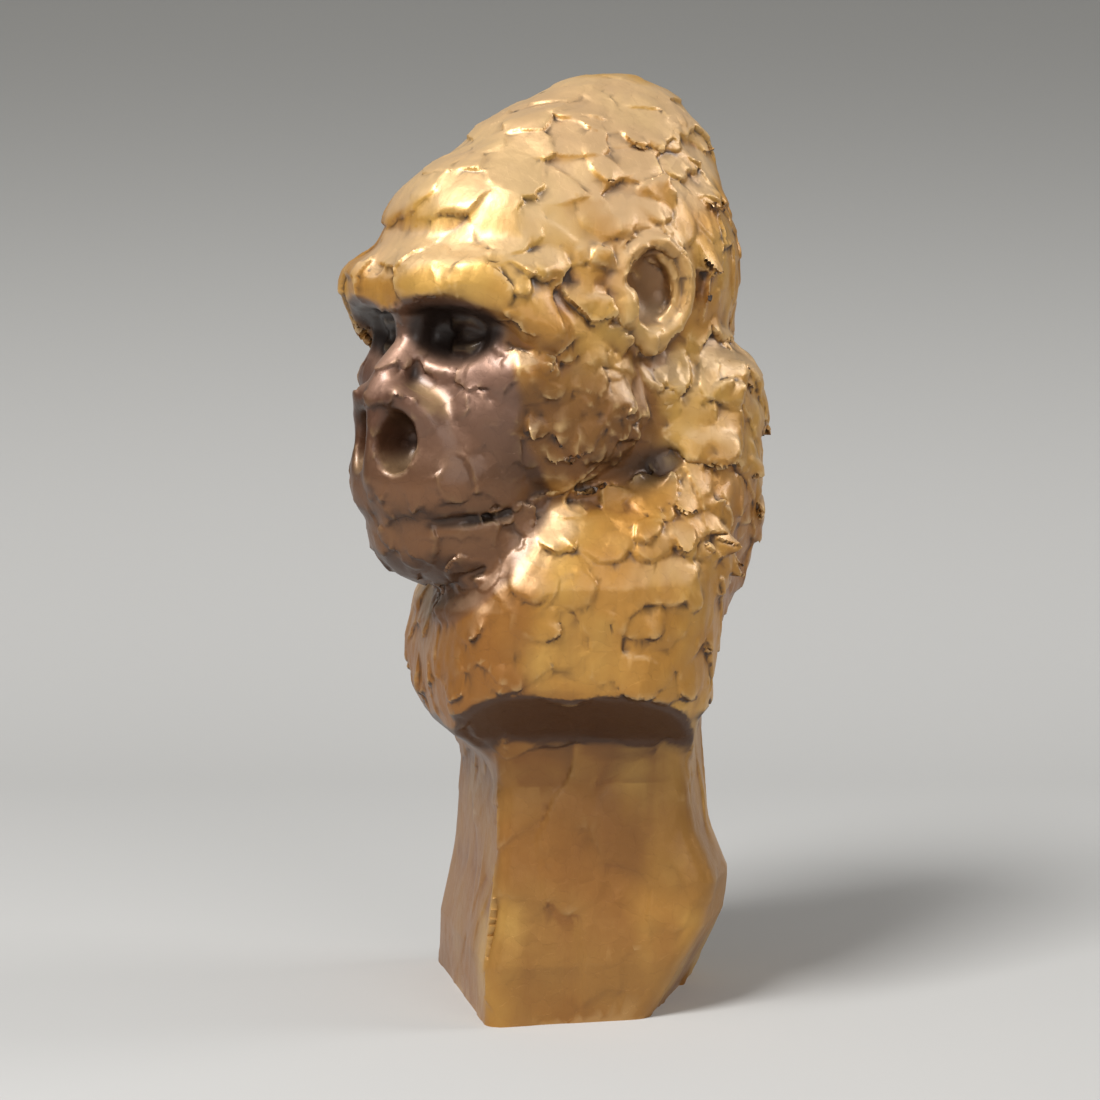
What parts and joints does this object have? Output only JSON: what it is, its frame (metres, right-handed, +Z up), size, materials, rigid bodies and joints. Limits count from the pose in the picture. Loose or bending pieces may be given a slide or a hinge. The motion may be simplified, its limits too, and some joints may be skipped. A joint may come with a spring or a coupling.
{
  "type": "gorilla bust figurine",
  "caption": "Bronze figurine of a gorilla's head and cut-off shoulders, modelled in rough clay dabs, on a faceted column that flares into a flat foot.",
  "frame": {"origin": "middle of the column's foot, on the flat face that rests on the ground", "axes": "+Z up, the face looks along -Y, the gorilla's left ear is on +X; the chest is turned 31 degrees about +Z from the face, towards the gorilla's left"},
  "size_m": [0.1314, 0.1603, 0.3205],
  "materials": {
    "patinated_bronze": "golden ochre patina on cast bronze, satin on the high spots and violet brown in the face and the hollows"
  },
  "bodies": {
    "root": {"gorilla_bust": "patinated_bronze"}
  },
  "joints": []
}
